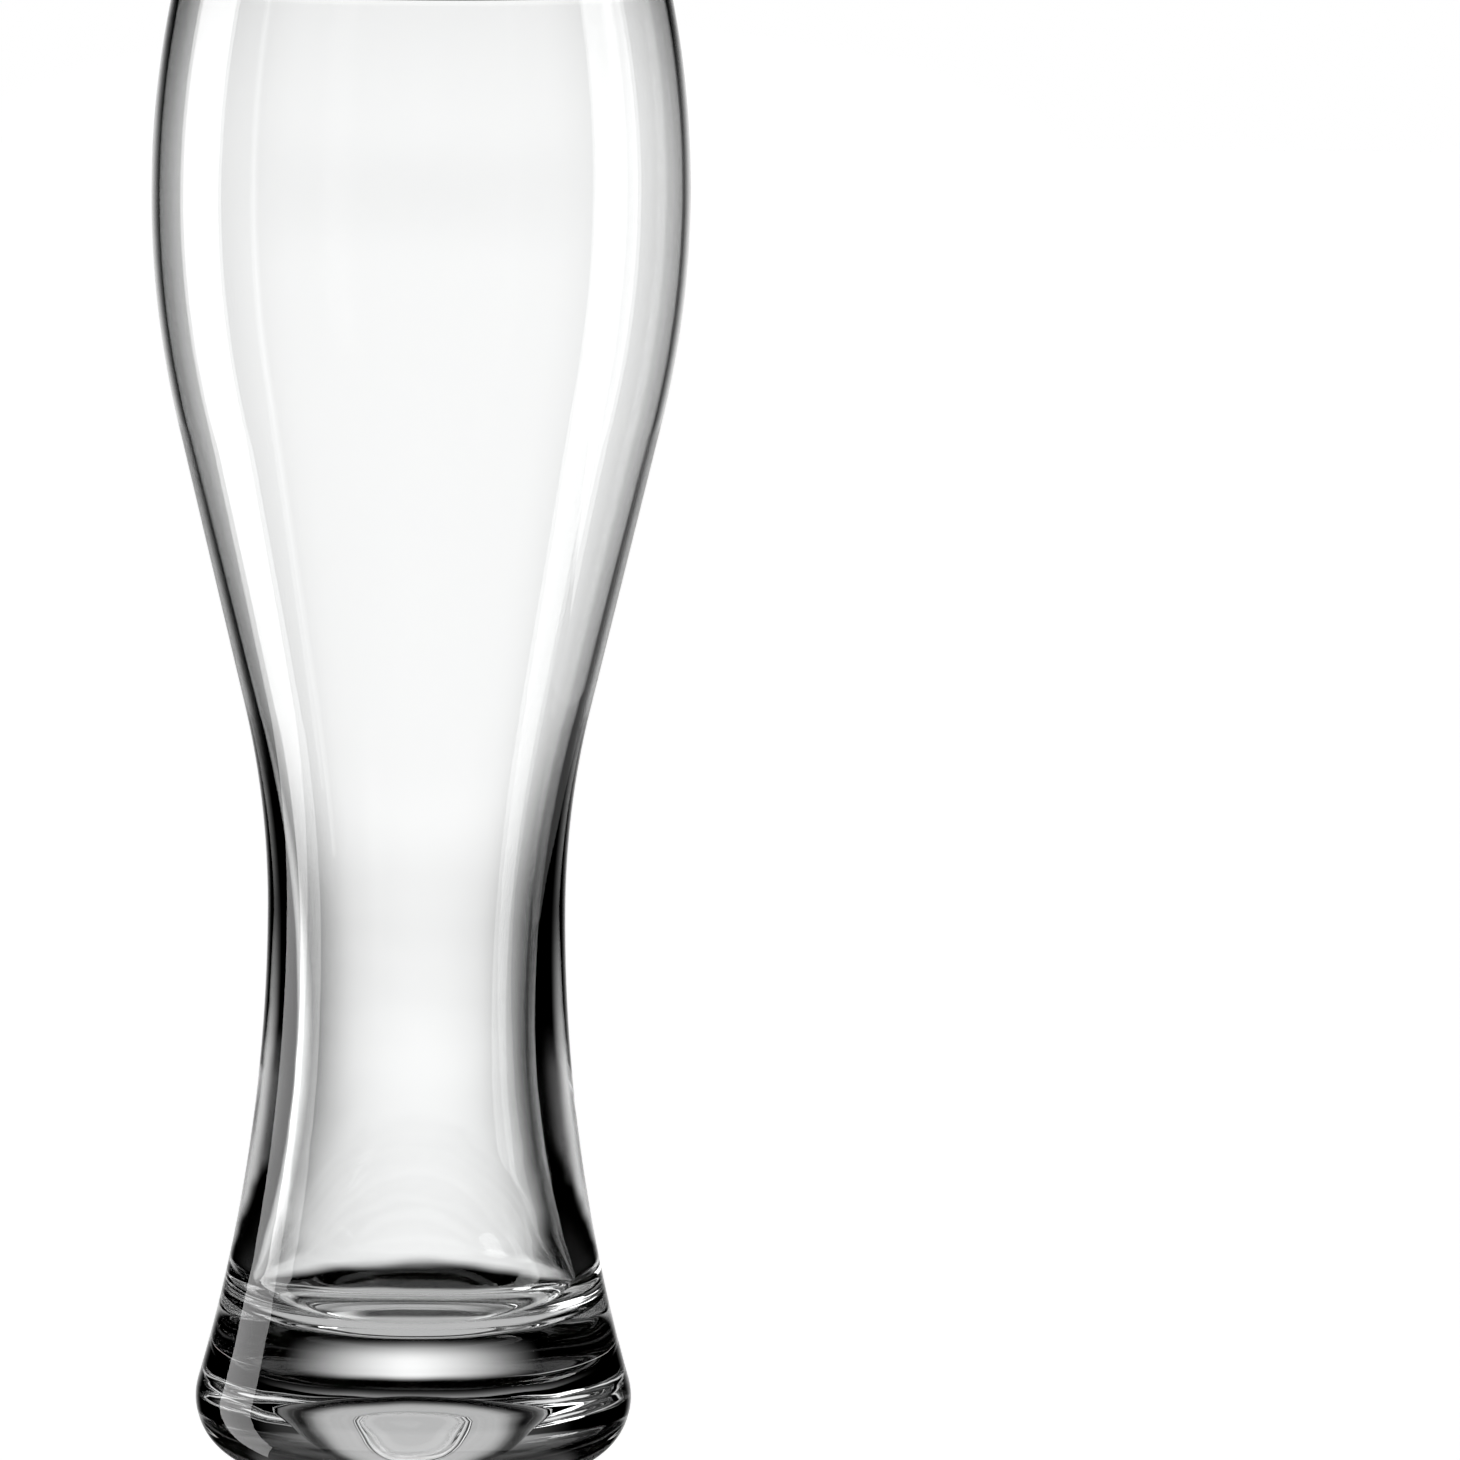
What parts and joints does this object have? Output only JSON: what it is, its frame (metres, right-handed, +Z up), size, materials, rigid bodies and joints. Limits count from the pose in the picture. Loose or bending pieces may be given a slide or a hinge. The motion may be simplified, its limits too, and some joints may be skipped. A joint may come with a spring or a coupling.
{
  "type": "weizen glass",
  "caption": "Tall wheat beer glass with a bulging thin-walled bowl, a long taper to a narrow waist, and a flared heavy solid base with a rounded heel.",
  "frame": {"origin": "centre of the standing plane, on the glass's axis", "axes": "+Z up along the glass's axis of revolution, from the standing ring to the lip"},
  "size_m": [0.0858, 0.0858, 0.238],
  "materials": {
    "clear_glass": "fire-polished clear soda-lime glass"
  },
  "bodies": {
    "root": {"lip": "clear_glass", "bowl": "clear_glass", "taper": "clear_glass", "waist": "clear_glass", "base": "clear_glass"}
  },
  "joints": []
}
